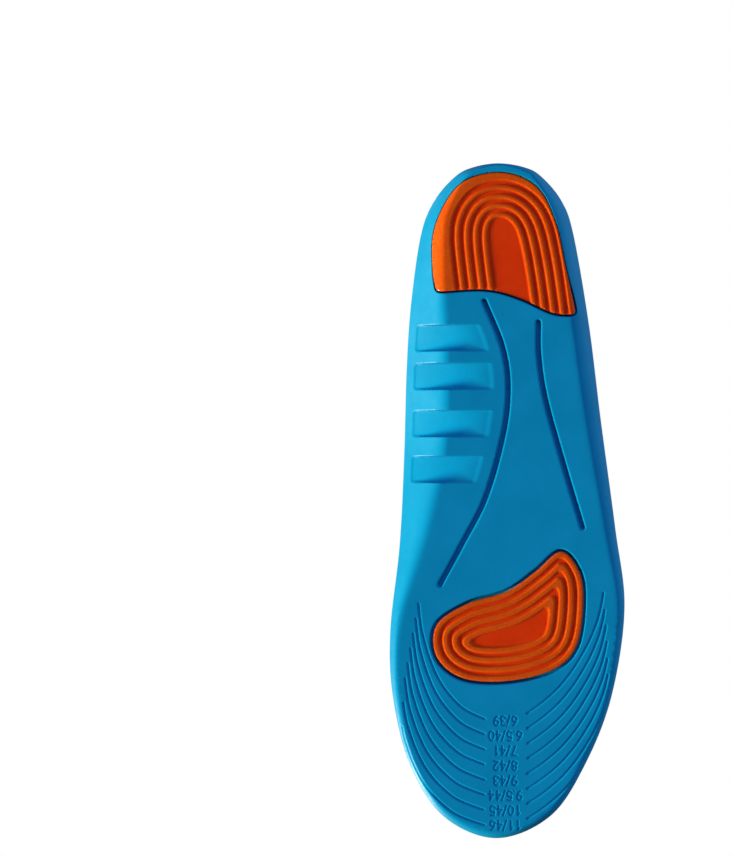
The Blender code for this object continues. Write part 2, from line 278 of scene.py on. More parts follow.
def along(keys, y):
    """A smooth value at y from (y, value) keys."""
    at, value = np.array(keys, float).T
    slope = np.gradient(value, at)
    y = np.clip(y, at[0], at[-1])
    k = np.clip(np.searchsorted(at, y) - 1, 0, len(at) - 2)
    span = at[k + 1] - at[k]
    t = (y - at[k]) / span
    ease = t * t * (3 - 2 * t)
    tangents = slope[k] * t * (1 - t) ** 2 - slope[k + 1] * t * t * (1 - t)
    return value[k] + (value[k + 1] - value[k]) * ease + span * tangents


def evenly(curve, step, closed=False):
    """The same curve with points about a step apart."""
    run = np.vstack([curve, curve[:1]]) if closed else curve
    length = np.concatenate([[0], np.cumsum(np.linalg.norm(np.diff(run, axis=0), axis=1))])
    count = max(2, round(length[-1] / step) + 1)
    at = np.linspace(0, length[-1], count, endpoint=not closed)
    return np.column_stack([np.interp(at, length, run[:, 0]), np.interp(at, length, run[:, 1])])


def grown(ring, by):
    """A closed ring moved outwards by a distance."""
    tangent = np.roll(ring, -1, axis=0) - np.roll(ring, 1, axis=0)
    normal = np.column_stack([tangent[:, 1], -tangent[:, 0]])
    normal /= np.linalg.norm(normal, axis=1)[:, None]
    outwards = np.sign((normal * (ring - ring.mean(axis=0))).sum())
    return ring + outwards * by * normal


def softened(ring, passes):
    """A closed ring with its corners rounded off."""
    for _ in range(passes):
        ring = (np.roll(ring, 1, axis=0) + 2 * ring + np.roll(ring, -1, axis=0)) / 4
    return ring


def arc(x, y, across, up, start, end):
    """Part of an ellipse, from one angle to another in degrees."""
    steps = max(6, round(abs(end - start) / 18))
    angle = np.radians(np.linspace(start, end, steps + 1))
    return np.column_stack([x + across * np.cos(angle), y + up * np.sin(angle)])


def path(*points):
    return np.array(points, float)


# ------------------------------------------------------------------ distances
def to_line(xy, line, closed=False):
    """Each point's distance to a polyline."""
    starts = line if closed else line[:-1]
    run = (np.roll(line, -1, axis=0) if closed else line[1:]) - starts
    squared = (run**2).sum(-1)
    found = np.empty(len(xy))
    for first in range(0, len(xy), CHUNK):
        away = xy[first : first + CHUNK, None] - starts
        share = np.clip((away * run).sum(-1) / squared, 0, 1)
        apart = away - share[..., None] * run
        found[first : first + CHUNK] = np.sqrt((apart**2).sum(-1).min(axis=1))
    return found


def inside(xy, ring):
    x, y = xy.T
    within = np.zeros(len(xy), bool)
    for (x1, y1), (x2, y2) in zip(ring, np.roll(ring, -1, axis=0)):
        if y1 != y2:
            crossing = (y1 > y) != (y2 > y)
            within ^= crossing & (x < (x2 - x1) * (y - y1) / (y2 - y1) + x1)
    return within


def outside(xy, ring):
    """Distance to a closed ring, negative within it."""
    distance = to_line(xy, ring, closed=True)
    return np.where(inside(xy, ring), -distance, distance)


def ramp(value, width):
    """From 0 to 1, smoothly, as the value goes from 0 to the width."""
    t = np.clip(value / width, 0, 1)
    return t * t * (3 - 2 * t)


def fillet(distance, radius):
    """How far a rounded edge lies behind its face, at a distance in from the edge."""
    return radius - np.sqrt(radius**2 - np.clip(radius - distance, 0, radius) ** 2)


# ------------------------------------------------------------------ the insole's two surfaces
EDGE = catmull_rom(OUTLINE, SPLINE_STEPS, closed=True)
RING = catmull_rom(OUTLINE, FINE_STEPS, closed=True)
ON_MEDIAL_SIDE = np.arange(len(EDGE)) <= TOE_TIP * SPLINE_STEPS


def edge_setting(medial, lateral):
    """A value at each point of the outline, from the keys of its two sides."""
    return np.where(ON_MEDIAL_SIDE, along(medial, EDGE[:, 1]), along(lateral, EDGE[:, 1]))


RIM = edge_setting(RIM_MEDIAL, RIM_LATERAL)
WALL = edge_setting(WALL_MEDIAL, WALL_LATERAL)
BLEND = edge_setting(BLEND_MEDIAL, BLEND_LATERAL)
CUP = edge_setting(CUP_MEDIAL, CUP_LATERAL)


def from_edge(xy, settings):
    """Each plan point's distance to the outline, and the settings at the nearest place on it."""
    along_edge = np.roll(EDGE, -1, axis=0) - EDGE
    squared = (along_edge**2).sum(-1)
    columns = []
    for first in range(0, len(xy), CHUNK):
        away = xy[first : first + CHUNK, None] - EDGE
        share = np.clip((away * along_edge).sum(-1) / squared, 0, 1)
        apart = ((away - share[..., None] * along_edge) ** 2).sum(-1)
        nearest = apart.argmin(axis=1)
        rows = np.arange(len(nearest))
        t = share[rows, nearest]
        found = [s[nearest] * (1 - t) + np.roll(s, -1)[nearest] * t for s in settings]
        columns.append(np.vstack([np.sqrt(apart[rows, nearest]), *found]))
    return np.hstack(columns)


def climbing(share, blend):
    """From 0 at the foot of the wall to 1 at the rim: an arc over the blend's share, then straight."""
    return np.where(share < blend, share**2 / (2 * blend), share - blend / 2) / (1 - blend / 2)


def underside(xy):
    """Height of the base's lower surface: flat in the middle, climbing the wall to the rim."""
    distance, rim, wall, blend = from_edge(xy, (RIM, WALL, BLEND))
    return (rim - SIDE_LAND) * climbing(np.clip(1 - distance / wall, 0, 1), blend)


def topside(xy):
    """Height of the base's upper surface: the floor that the foot stands on, and the cup round it."""
    distance, rim, cup = from_edge(xy, (RIM, CUP))
    floor = along(FLOOR, xy[:, 1])
    climb = np.clip(1 - (distance - RIM_LAND) / cup, 0, 1)
    return floor + (rim - floor) * climb**CUP_CURVE


def slant(surface, xy, step=0.2):
    """How much longer a normal is upright than across, where the surface slopes."""
    east = surface(xy + (step, 0)) - surface(xy - (step, 0))
    north = surface(xy + (0, step)) - surface(xy - (0, step))
    return np.sqrt(1 + (east**2 + north**2) / (2 * step) ** 2)


def side_at(y, side):
    """The outline's x at y, on the big-toe side (0) or the little-toe side (1)."""
    turn = TOE_TIP * SPLINE_STEPS
    run = EDGE[: turn + 1] if side == 0 else np.vstack([EDGE[turn:], EDGE[:1]])[::-1]
    return np.interp(y, run[:, 1], run[:, 0])


def drawn_in(share):
    """The outline drawn in towards the insole's spine."""
    hub_y = HUB_REACH * RING[:, 1]
    hubs = np.column_stack([(side_at(hub_y, 0) + side_at(hub_y, 1)) / 2, hub_y])
    return hubs + share * (RING - hubs)


# ------------------------------------------------------------------ plans and moulded lines
def heel_pad_ring():
    arch = catmull_rom(HEEL_PAD_ARCH, SPLINE_STEPS, closed=False)
    front = catmull_rom(HEEL_PAD_FRONT, SPLINE_STEPS, closed=False)
    return softened(evenly(np.vstack([arch[:-1], front[:-1]]), 0.7, closed=True), 9)


def forefoot_pad_ring():
    return evenly(catmull_rom(FOREFOOT_PAD_OUTLINE, SPLINE_STEPS, closed=True), 0.7, closed=True)


def heel_pocket_ring():
    """The pocket fits the pad closely round its arch and stands off its front edge."""
    at_front = HEEL_RING[:, 1:] > HEEL_FRONT_Y
    gap = np.where(at_front, FRONT_CLEARANCE, PAD_CLEARANCE)
    return grown(HEEL_RING, softened(gap, 60))


HEEL_RING = heel_pad_ring()
FOREFOOT_RING = forefoot_pad_ring()
HEEL_POCKET = heel_pocket_ring()
FOREFOOT_POCKET = grown(FOREFOOT_RING, FOREFOOT_CLEARANCE)
WINDOW = evenly(catmull_rom(HEEL_WINDOW, SPLINE_STEPS, closed=False), 0.5)
GROOVES = [evenly(catmull_rom(keys, 9, closed=False), 0.8) for keys in (GROOVE_MEDIAL, GROOVE_LATERAL)]


def trim_line(master, smaller, narrowing, first_y, stop_x):
    """One size's trim line: the largest one's, moved and drawn in, and cut short of the numerals."""
    curve = catmull_rom(master, 14, closed=False)
    curve = curve[curve[:, 1] >= first_y] * (1 - narrowing, 1) - (0, SIZE_PITCH * smaller)
    return evenly(curve[np.abs(curve[:, 0]) >= stop_x], 0.7)


def trim_lines():
    lines = []
    for smaller in range(len(SIZES)):
        medial_y = TRIM_FIRST_Y + TRIM_SHORTER * max(0, 2 - smaller)
        lateral_y = TRIM_FIRST_Y - TRIM_LONGER * smaller
        medial_narrowing = 0.025 * smaller
        lateral_narrowing = 0.0012 * smaller**2
        lines.append(trim_line(TRIM_MEDIAL, smaller, medial_narrowing, medial_y, TRIM_STOPS[0]))
        lines.append(trim_line(TRIM_LATERAL, smaller, lateral_narrowing, lateral_y, TRIM_STOPS[1]))
    return lines


GLYPHS = {
    "0": [arc(0.30, 0.50, 0.27, 0.50, 0, 360)],
    "1": [path((0.12, 0.78), (0.32, 1.0), (0.32, 0.0))],
    "2": [np.vstack([arc(0.30, 0.73, 0.26, 0.27, 170, -35), path((0.04, 0.0), (0.57, 0.0))])],
    "3": [arc(0.28, 0.76, 0.24, 0.24, 150, -90), arc(0.28, 0.27, 0.28, 0.27, 90, -150)],
    "4": [path((0.43, 0.0), (0.43, 1.0), (0.02, 0.32), (0.58, 0.32))],
    "5": [np.vstack([path((0.52, 1.0), (0.13, 1.0), (0.08, 0.55)), arc(0.28, 0.32, 0.28, 0.32, 125, -145)])],
    "6": [arc(0.30, 0.29, 0.26, 0.29, 0, 360), path((0.05, 0.35), (0.12, 0.66), (0.27, 0.88), (0.46, 1.0))],
    "7": [path((0.02, 1.0), (0.57, 1.0), (0.20, 0.0))],
    "8": [arc(0.30, 0.76, 0.21, 0.24, 0, 360), arc(0.30, 0.27, 0.27, 0.27, 0, 360)],
    ".": [path((0.12, 0.0), (0.12, 0.05))],
    "/": [path((0.02, -0.04), (0.38, 1.04))],
}
GLYPHS["9"] = [(0.6, 1.0) - stroke for stroke in GLYPHS["6"]]


def numeral_strokes(text, middle):
    """The strokes of a size, reading from below with the toe up."""
    widths = [ADVANCES.get(character, ADVANCE) for character in text]
    at = -sum(widths) / 2
    strokes = []
    for character, width in zip(text, widths):
        for stroke in GLYPHS[character]:
            across = -(at + stroke[:, 0]) * NUMERAL_HEIGHT
            up = (stroke[:, 1] - 0.5) * NUMERAL_HEIGHT
            strokes.append(np.column_stack([across, up]) + middle)
        at += width
    return strokes


def size_marks():
    x, y = LAST_NUMERAL
    strokes = []
    for smaller, text in enumerate(reversed(SIZES)):
        strokes += numeral_strokes(text, (x, y - SIZE_PITCH * smaller))
    return strokes


TRIMS = trim_lines()
MARKS = size_marks()


# ------------------------------------------------------------------ the foam's lower face
def carved(xy, lines, section, reach):
    """The deepest cut at each point, from channels of one section that follow the lines."""
    depth = np.zeros(len(xy))
    for line in lines:
        near = ((xy > line.min(axis=0) - reach) & (xy < line.max(axis=0) + reach)).all(axis=1)
        depth[near] = np.maximum(depth[near], section(to_line(xy[near], line)))
    return depth


def groove_section(distance):
    """A steep channel between rounded lips."""
    channel = 1 - ramp(distance - GROOVE_FLOOR, GROOVE_HALF - GROOVE_FLOOR)
    return (GROOVE_DEPTH - GROOVE_LIP) * channel + fillet(distance - GROOVE_HALF, GROOVE_LIP)


def trim_section(distance):
    return TRIM_DEPTH * (1 - ramp(distance, TRIM_HALF))


def numeral_section(distance):
    return NUMERAL_DEPTH * (1 - ramp(distance - NUMERAL_FLOOR, NUMERAL_HALF - NUMERAL_FLOOR))


def scoop_depth(xy, height):
    """Depth of the four arch scoops below a height. A floor sweeps from the wall down to the flat."""
    medial = GROOVES[0]
    depth = np.zeros(len(xy))
    for start in SCOOP_STARTS:
        near = (xy[:, 1] > start) & (xy[:, 1] < start + SCOOP_LENGTH)
        x, y = xy[near].T
        left = side_at(y, 0) + SCOOP_INSET
        right = np.interp(y, medial[:, 1], medial[:, 0]) - SCOOP_CLEARANCE
        share = np.clip((x - left) / (right - left), 0, 1)
        wall_end = underside(np.column_stack([left, y]))
        deep = SCOOP_SHALLOW + np.clip(wall_end * (1 - share) ** SCOOP_CURVE - height[near], 0, None)
        ends = np.minimum(x - left, right - x)
        sides = np.minimum(y - start, start + SCOOP_LENGTH - y)
        corner = np.hypot(np.clip(SCOOP_CORNER - ends, 0, None), np.clip(SCOOP_CORNER - sides, 0, None))
        edge = np.where(corner > 0, SCOOP_CORNER - corner, np.minimum(ends, sides))
        toe_width = SCOOP_TOE_WALL[0] + SCOOP_TOE_WALL[1] * np.sin(math.pi * share**1.4) ** 2
        toe_wall = np.clip((start + SCOOP_LENGTH - y) / toe_width, 0, 1)
        shape = ramp(edge, SCOOP_WALL) * ramp(right - x, SCOOP_FADE)
        depth[near] = deep * shape * (1 - (1 - toe_wall) ** SCOOP_TOE_BOWL)
    return depth


def heel_pad_inside(xy):
    """Height of the heel pad's inner face."""
    return HEEL_PAD_RISE * underside(xy) + HEEL_PAD


def heel_ceiling(xy):
    return heel_pad_inside(xy) + POCKET_SPARE


def forefoot_ceiling(xy):
    return np.full(len(xy), FOREFOOT_PAD + POCKET_SPARE)


def with_pocket(xy, height, ring, lip, ceiling):
    """The height with a pocket sunk into it, its edge rounded and its wall nearly upright."""
    reach = 2.0
    near = ((xy > ring.min(axis=0) - reach) & (xy < ring.max(axis=0) + reach)).all(axis=1)
    away = outside(xy[near], ring)
    found = height[near] + fillet(np.clip(away, 0, None), lip)
    within = ramp(-away, POCKET_WALL)
    height[near] = found * (1 - within) + np.maximum(found, ceiling(xy[near])) * within
    return height


def foam_lower(xy):
    height = underside(xy)
    height += scoop_depth(xy, height)
    height += carved(xy, GROOVES, groove_section, GROOVE_HALF + GROOVE_LIP)
    height += np.maximum(
        carved(xy, TRIMS, trim_section, TRIM_HALF), carved(xy, MARKS, numeral_section, NUMERAL_HALF)
    )
    height = with_pocket(xy, height, HEEL_POCKET, HEEL_LIP, heel_ceiling)
    height = with_pocket(xy, height, FOREFOOT_POCKET, FOREFOOT_LIP, forefoot_ceiling)
    return height + fillet(to_line(xy, RING, closed=True), RIM_LOWER_RADIUS)


def foam_upper(xy):
    edge = to_line(xy, RING, closed=True)
    return topside(xy) + FOAM_LIFT * ramp(edge - COVERED_FROM, 0.4) - fillet(edge, RIM_UPPER_RADIUS)


# ------------------------------------------------------------------ plan points
def grid(low, high, step):
    """Points on a triangular grid over a box."""
    rows = np.arange(low[1], high[1], step * 0.87)
    x = np.arange(low[0], high[0], step)
    shifts = [step / 2 * (k % 2) for k in range(len(rows))]
    return np.vstack([np.column_stack([x + shift, np.full(len(x), y)]) for shift, y in zip(shifts, rows)])


def beside(line, offsets):
    """Rows of points along both sides of an open line, fanned round its ends."""
    tangent = np.gradient(line, axis=0)
    tangent /= np.linalg.norm(tangent, axis=1)[:, None]
    normal = np.column_stack([-tangent[:, 1], tangent[:, 0]])
    rows = [line]
    for offset in offsets:
        rows += [line + offset * normal, line - offset * normal]
        ends = ((line[0], -tangent[0], normal[0]), (line[-1], tangent[-1], normal[-1]))
        for end, ahead, across in ends:
            for angle in np.radians((-60, -30, 0, 30, 60)):
                rows.append([end + offset * (math.cos(angle) * ahead + math.sin(angle) * across)])
    return np.vstack(rows)


def about(ring, offsets):
    """Rows of points round a closed ring, each at its distance outwards."""
    return np.vstack([grown(ring, offset) for offset in offsets])


def within_ring(cloud, ring, margin=0.05):
    """The cloud's points inside a ring, thinned where they crowd."""
    cloud = cloud[outside(cloud, ring) < -margin]
    _, kept = np.unique(np.round(cloud / THINNEST), axis=0, return_index=True)
    return cloud[np.sort(kept)]


def box_of(points, margin):
    return points.min(axis=0) - margin, points.max(axis=0) + margin


def foam_lower_points():
    """Close rows where the foam is moulded, and a coarse grid elsewhere."""
    clouds = [about(RING, (-0.08, -0.2, -0.36, -0.8, -1.6, -2.8))]
    clouds.append(about(HEEL_POCKET, (0.9, 0.46, 0.3, 0.15, 0.04, 0, -0.12, -0.4)))
    clouds.append(about(FOREFOOT_POCKET, (1.4, 0.92, 0.65, 0.42, 0.22, 0.08, 0, -0.12, -0.5)))
    clouds += [beside(line, GROOVE_ROWS) for line in GROOVES]
    clouds += [beside(line, TRIM_ROWS) for line in TRIMS]
    marks = np.vstack(MARKS)
    clouds.append(grid(*box_of(marks, 0.7), 0.26))
    top = SCOOP_STARTS[-1] + SCOOP_LENGTH
    clouds.append(grid((-46, SCOOP_STARTS[0] - 1), (-4, top + 1), 0.6))
    clouds += [grid((-43, start - 0.1), (-5, start + 1.1), 0.24) for start in SCOOP_STARTS]
    tip = grid((-36, -151), (30, -128), 0.55)
    clouds.append(tip[outside(tip, HEEL_POCKET) > 1.1])
    clouds.append(grid(*box_of(RING, 1), 1.7))
    return within_ring(np.vstack(clouds), RING)


def cover_points(ring):
    rim = about(ring, (-0.1, -0.25, -0.45, -0.8, -1.5))
    return within_ring(np.vstack([rim, grid(*box_of(ring, 1), 1.5)]), ring)


# ------------------------------------------------------------------ solids
def triangulated(ring, cloud):
    """Plan points, the triangles between them, and where the ring's points are among them."""
    count = len(ring)
    points = [Vector(p) for p in np.vstack([ring, cloud])]
    edges = [(i, (i + 1) % count) for i in range(count)]
    found, _, faces, origins, _, _ = delaunay_2d_cdt(points, edges, [], 1, 1e-6)
    place = {old: new for new, olds in enumerate(origins) for old in olds}
    plan = np.array([tuple(p) for p in found])
    faces = np.array(faces)
    a, b, c = (plan[faces[:, k]] for k in range(3))
    turn = (b[:, 0] - a[:, 0]) * (c[:, 1] - a[:, 1]) - (b[:, 1] - a[:, 1]) * (c[:, 0] - a[:, 0])
    faces[turn < 0] = faces[turn < 0][:, ::-1]
    return plan, faces, np.array([place[i] for i in range(count)])


def solid(name, ring, lower_cloud, lower, upper_cloud, upper, materials, second=None, sharp=50):
    """A closed solid over a ring's plan, between two heights. Where second says so, its lower face
    has the second material."""
    turn = (ring[:, 0] * np.roll(ring[:, 1], -1) - ring[:, 1] * np.roll(ring[:, 0], -1)).sum()
    ring = ring if turn > 0 else ring[::-1]
    low_plan, low_faces, low_ring = triangulated(ring, lower_cloud)
    high_plan, high_faces, high_ring = triangulated(ring, upper_cloud)
    below = np.column_stack([low_plan, lower(low_plan)])
    over = np.column_stack([high_plan, upper(high_plan)])
    high_ring = high_ring + len(below)
    sides = np.column_stack([low_ring, np.roll(low_ring, -1), np.roll(high_ring, -1), high_ring])
    mesh = bpy.data.meshes.new(name)
    faces = low_faces[:, ::-1].tolist() + (high_faces + len(below)).tolist() + sides.tolist()
    mesh.from_pydata((np.vstack([below, over]) * MM).tolist(), [], faces)
    mesh.shade_smooth()
    mesh.set_sharp_from_angle(angle=math.radians(sharp))
    for material in materials:
        mesh.materials.append(material)
    if second:
        middles = low_plan[low_faces].mean(axis=1)
        chosen = np.zeros(len(mesh.polygons), np.int32)
        chosen[: len(low_faces)] = second(middles)
        mesh.polygons.foreach_set("material_index", chosen)
    obj = bpy.data.objects.new(name, mesh)
    bpy.context.scene.collection.objects.link(obj)
    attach(obj, "root")
    return obj


# ------------------------------------------------------------------ materials
def node(tree, kind, inputs=(), **settings):
    made = tree.nodes.new(kind)
    for name, value in dict(inputs).items():
        made.inputs[name].default_value = value
    for name, value in settings.items():
        setattr(made, name, value)
    return made


def new_material(name, inputs):
    material = bpy.data.materials.new(name)
    material.use_nodes = True
    shader = material.node_tree.nodes["Principled BSDF"]
    for key, value in inputs.items():
        shader.inputs[key].default_value = value
    return material, material.node_tree, shader


def noise(tree, scale, detail=2.0, roughness=0.5):
    """Noise fixed to the object, in features of 1/scale metres."""
    place = node(tree, "ShaderNodeTexCoord")
    made = node(tree, "ShaderNodeTexNoise", {"Scale": scale, "Detail": detail, "Roughness": roughness})
    tree.links.new(place.outputs["Object"], made.inputs["Vector"])
    return made.outputs["Fac"]


def between(tree, share, stops):
    """A colour ramp over a 0 to 1 value, from (position, colour) stops."""
    made = node(tree, "ShaderNodeValToRGB")
    while len(made.color_ramp.elements) < len(stops):
        made.color_ramp.elements.new(0.5)
    for element, (position, colour) in zip(made.color_ramp.elements, stops):
        element.position = position
        element.color = (*colour, 1)
    tree.links.new(share, made.inputs["Fac"])
    return made.outputs["Color"]


def spread(tree, share, low, high, start=0.35, end=0.65):
    """A value spread over a range."""
    ends = {"From Min": start, "From Max": end, "To Min": low, "To Max": high}
    made = node(tree, "ShaderNodeMapRange", ends)
    tree.links.new(share, made.inputs["Value"])
    return made.outputs["Result"]


def bump(tree, shader, layers):
    """Fine relief on a shader, from (height output, depth in metres) layers, one on the other."""
    normal = None
    for height, depth in layers:
        made = node(tree, "ShaderNodeBump", {"Strength": 1.0, "Distance": depth})
        tree.links.new(height, made.inputs["Height"])
        if normal is not None:
            tree.links.new(normal, made.inputs["Normal"])
        normal = made.outputs["Normal"]
    tree.links.new(normal, shader.inputs["Normal"])


def foam_material():
    """Satin skin of moulded foam, with fine pores and slight shifts of tone."""
    material, tree, shader = new_material("moulded_foam", {"Specular IOR Level": 0.17})
    colour = between(
        tree, noise(tree, 45, 4), [(0.3, (0.001, 0.212, 0.530)), (0.7, (0.002, 0.240, 0.580))]
    )
    tree.links.new(colour, shader.inputs["Base Color"])
    tree.links.new(spread(tree, noise(tree, 300, 3), 0.40, 0.52), shader.inputs["Roughness"])
    bump(tree, shader, [(noise(tree, 1900, 2), 0.00001), (noise(tree, 260, 2), 0.00003)])
    return material


def gel_material(name, tones, roughness):
    """Soft see-into gel: an orange-red body that is cloudy in places, under a smooth skin."""
    inputs = {
        "Subsurface Weight": 0.65,
        "Subsurface Radius": (1.0, 0.12, 0.03),
        "Subsurface Scale": 0.002,
        "Specular IOR Level": 0.28,
    }
    material, tree, shader = new_material(name, inputs)
    colour = between(tree, noise(tree, 90, 4), [(0.3, tones[0]), (0.7, tones[1])])
    tree.links.new(colour, shader.inputs["Base Color"])
    tree.links.new(spread(tree, noise(tree, 400, 2), *roughness), shader.inputs["Roughness"])
    bump(tree, shader, [(noise(tree, 700, 2), 0.00002)])
    return material


def suede_material():
    """Brushed microsuede: short nap that lies both ways, and faint larger patches."""
    inputs = {
        "Specular IOR Level": 0.15,
        "Sheen Weight": 0.35,
        "Sheen Roughness": 0.5,
        "Sheen Tint": (1.0, 0.8, 0.65, 1),
    }
    material, tree, shader = new_material("peach_microsuede", inputs)
    nap = between(
        tree,
        noise(tree, 1500, 3, 0.65),
        [(0.3, (0.62, 0.310, 0.180)), (0.5, (0.80, 0.435, 0.270)), (0.72, (0.92, 0.560, 0.375))],
    )
    patches = between(tree, noise(tree, 70, 3), [(0.3, (0.93, 0.87, 0.86)), (0.7, (1.0, 1.0, 0.94))])
    mixed = node(tree, "ShaderNodeMix", data_type="RGBA", blend_type="MULTIPLY")
    mixed.inputs["Factor"].default_value = 1.0
    tree.links.new(nap, mixed.inputs[6])
    tree.links.new(patches, mixed.inputs[7])
    tree.links.new(mixed.outputs[2], shader.inputs["Base Color"])
    tree.links.new(spread(tree, noise(tree, 500, 2), 0.85, 1.0), shader.inputs["Roughness"])
    bump(tree, shader, [(noise(tree, 1500, 3, 0.65), 0.00016), (noise(tree, 3200, 2), 0.00006)])
    return material


def backing_material():
    """Cream knitted backing with its fibres showing at the cut."""
    inputs = {"Specular IOR Level": 0.2, "Sheen Weight": 0.2}
    material, tree, shader = new_material("cream_backing", inputs)
    colour = between(
        tree, noise(tree, 2400, 3, 0.7), [(0.3, (0.50, 0.40, 0.27)), (0.7, (0.72, 0.62, 0.46))]
    )
    tree.links.new(colour, shader.inputs["Base Color"])
    tree.links.new(spread(tree, noise(tree, 600, 2), 0.85, 1.0), shader.inputs["Roughness"])
    bump(tree, shader, [(noise(tree, 2400, 3, 0.7), 0.00012)])
    return material


def adhesive_material():
    """Milky hot-melt film, mottled where it has flowed."""
    material, tree, shader = new_material("hot_melt_film", {"Specular IOR Level": 0.5})
    colour = between(
        tree, noise(tree, 500, 3), [(0.3, (0.66, 0.60, 0.48)), (0.7, (0.84, 0.80, 0.70))]
    )
    tree.links.new(colour, shader.inputs["Base Color"])
    tree.links.new(spread(tree, noise(tree, 900, 2), 0.3, 0.55), shader.inputs["Roughness"])
    bump(tree, shader, [(noise(tree, 1200, 2), 0.00004)])
    return material


# ------------------------------------------------------------------ pieces
def make_foam(material):
    """The moulded base, with its pockets, flex grooves, arch scoops, trim lines and size marks."""
    rim = about(RING, (-0.08, -0.2, -0.34, -1.0, -1.85, -2.1, -2.35))
    upper = within_ring(np.vstack([rim, grid(*box_of(RING, 1), 2.4)]), RING)
    lower = foam_lower_points()
    foam = solid("foam_insole_base", RING, lower, foam_lower, upper, foam_upper, [material])
    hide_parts("foam_base")


def ridge_depth(from_crest, crest):
    """Depth below a ridge's top, at a distance from the middle of its top."""
    return RIDGE_HEIGHT * ramp(np.abs(from_crest) - (crest - FLANK / 2), FLANK)


def heel_ridges(xy):
    """Depth of the heel pad's relief: four ridges round a sunken window, then a plain band."""
    distance = to_line(xy, WINDOW)
    distance[inside(xy, WINDOW)] *= -1
    crest = HEEL_PITCH / 2 + HEEL_PITCH * np.clip(np.floor(distance / HEEL_PITCH), 0, HEEL_RIDGES)
    band = distance > HEEL_PITCH * HEEL_RIDGES + HEEL_PITCH / 2
    return np.where(band, 0, ridge_depth(distance - crest, HEEL_CREST))


def forefoot_ridges(xy):
    """Depth of the forefoot pad's relief: four ridges inside its outline, then a sunken window.
    The distance in is averaged over a small circle, which rounds the ridges' corners."""
    circle = [(math.cos(turn), math.sin(turn)) for turn in np.radians(range(0, 360, 60))]
    away = [outside(xy + CORNER_BLUR * np.array(way), FOREFOOT_RING) for way in circle]
    distance = -sum(away) / len(circle)
    crest = FOREFOOT_CREST + FOREFOOT_PITCH * np.clip(
        np.round((distance - FOREFOOT_CREST) / FOREFOOT_PITCH), 0, FOREFOOT_RIDGES - 1
    )
    return ridge_depth(distance - crest, FOREFOOT_CREST) * ramp(distance, 1.0)


def sunken(relief):
    return lambda xy: relief(xy) > SUNKEN * RIDGE_HEIGHT


def make_heel_pad(gels):
    def lower(xy):
        edge = to_line(xy, HEEL_RING, closed=True)
        return underside(xy) + np.maximum(heel_ridges(xy), fillet(edge, PAD_EDGE))

    rim = about(HEEL_RING, (-0.06, -0.16, -0.32, -0.5, -0.72))
    cloud = within_ring(np.vstack([rim, grid(*box_of(HEEL_RING, 1), 0.38)]), HEEL_RING)
    inner = within_ring(grid(*box_of(HEEL_RING, 1), 2.5), HEEL_RING, 0.5)
    # Painted shade: the sunken troughs and window take the satin gel's darker, redder colour.
    satin_and_shade_faces = sunken(heel_ridges)
    pad = solid("ridged_heel_gel", HEEL_RING, cloud, lower, inner, heel_pad_inside, gels, satin_and_shade_faces)
    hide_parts("heel_gel_pad")


def make_forefoot_pad(gels):
    def lower(xy):
        edge = to_line(xy, FOREFOOT_RING, closed=True)
        return np.maximum(forefoot_ridges(xy), fillet(edge, PAD_EDGE))

    def upper(xy):
        return np.full(len(xy), FOREFOOT_PAD)

    rim = about(FOREFOOT_RING, (-0.06, -0.16, -0.32, -0.5, -0.72))
    cloud = within_ring(np.vstack([rim, grid(*box_of(FOREFOOT_RING, 1), 0.36)]), FOREFOOT_RING)
    inner = within_ring(grid(*box_of(FOREFOOT_RING, 1), 2.5), FOREFOOT_RING, 0.5)
    # Painted shade: the sunken troughs and window take the satin gel's darker, redder colour.
    satin_and_shade_faces = sunken(forefoot_ridges)
    pad = solid("ridged_forefoot_gel", FOREFOOT_RING, cloud, lower, inner, upper, gels, satin_and_shade_faces)
    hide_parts("forefoot_gel_pad")


def make_layer(name, share, faces, radius, material):
    """A layer of the cover: the cup's shape at two heights, its cut edge rounded."""
    ring = drawn_in(share)
    low, high = faces

    def lower(xy):
        return topside(xy) + low * slant(topside, xy)

    def upper(xy):
        edge = to_line(xy, ring, closed=True)
        return topside(xy) + high * slant(topside, xy) - fillet(edge, radius)

    cloud = cover_points(ring)
    return solid(name, ring, cloud, lower, cloud, upper, [material])


def make_cover(backing, suede):
    under = make_layer("cream_cover_backing", BACKING_SHARE, BACKING, 0.4, backing)
    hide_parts("cover_backing")
    face = make_layer("microsuede_cover", SUEDE_SHARE, SUEDE, 0.5, suede)
    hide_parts("top_cover")


def finish_films(material):
    for name in ("cover_adhesive", "heel_pad_adhesive", "forefoot_pad_adhesive"):
        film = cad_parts[name]
        film.data.materials.clear()
        film.data.materials.append(material)


# ------------------------------------------------------------------ stage
CAMERA_AT = (-0.0628, -0.0320)
CAMERA_LENS = 200
CAMERA_HEIGHT = 2.107  # below the insole
KEY_BELOW = (-0.92, 0.30, -0.21)
SHINE = (-0.75, 0.45, 0.35)
SIDE_BELOW = (0.97, -0.18, -0.10)
FILL_BELOW = (0.25, -0.65, -0.72)
KEY_ABOVE = (-0.42, -0.28, 0.95)
FILL_ABOVE = (0.65, -0.2, 0.75)
# Lamp colours.
WARM = (0.90, 1.0, 0.62)
COOL = (0.50, 0.66, 1.0)
SOFT = (1.0, 0.9, 0.75)
FLOOR_KEY = 13.0


def sun(name, towards, strength, spread_angle, colour=(1, 1, 1), diffuse=True, glossy=True):
    light = bpy.data.lights.new(name, "SUN")
    light.energy = strength
    light.angle = math.radians(spread_angle)
    light.color = colour
    lamp = bpy.data.objects.new(name, light)
    lamp.rotation_euler = Vector(towards).to_track_quat("Z", "Y").to_euler()
    lamp.visible_diffuse = diffuse
    lamp.visible_glossy = glossy
    bpy.context.scene.collection.objects.link(lamp)
    return lamp


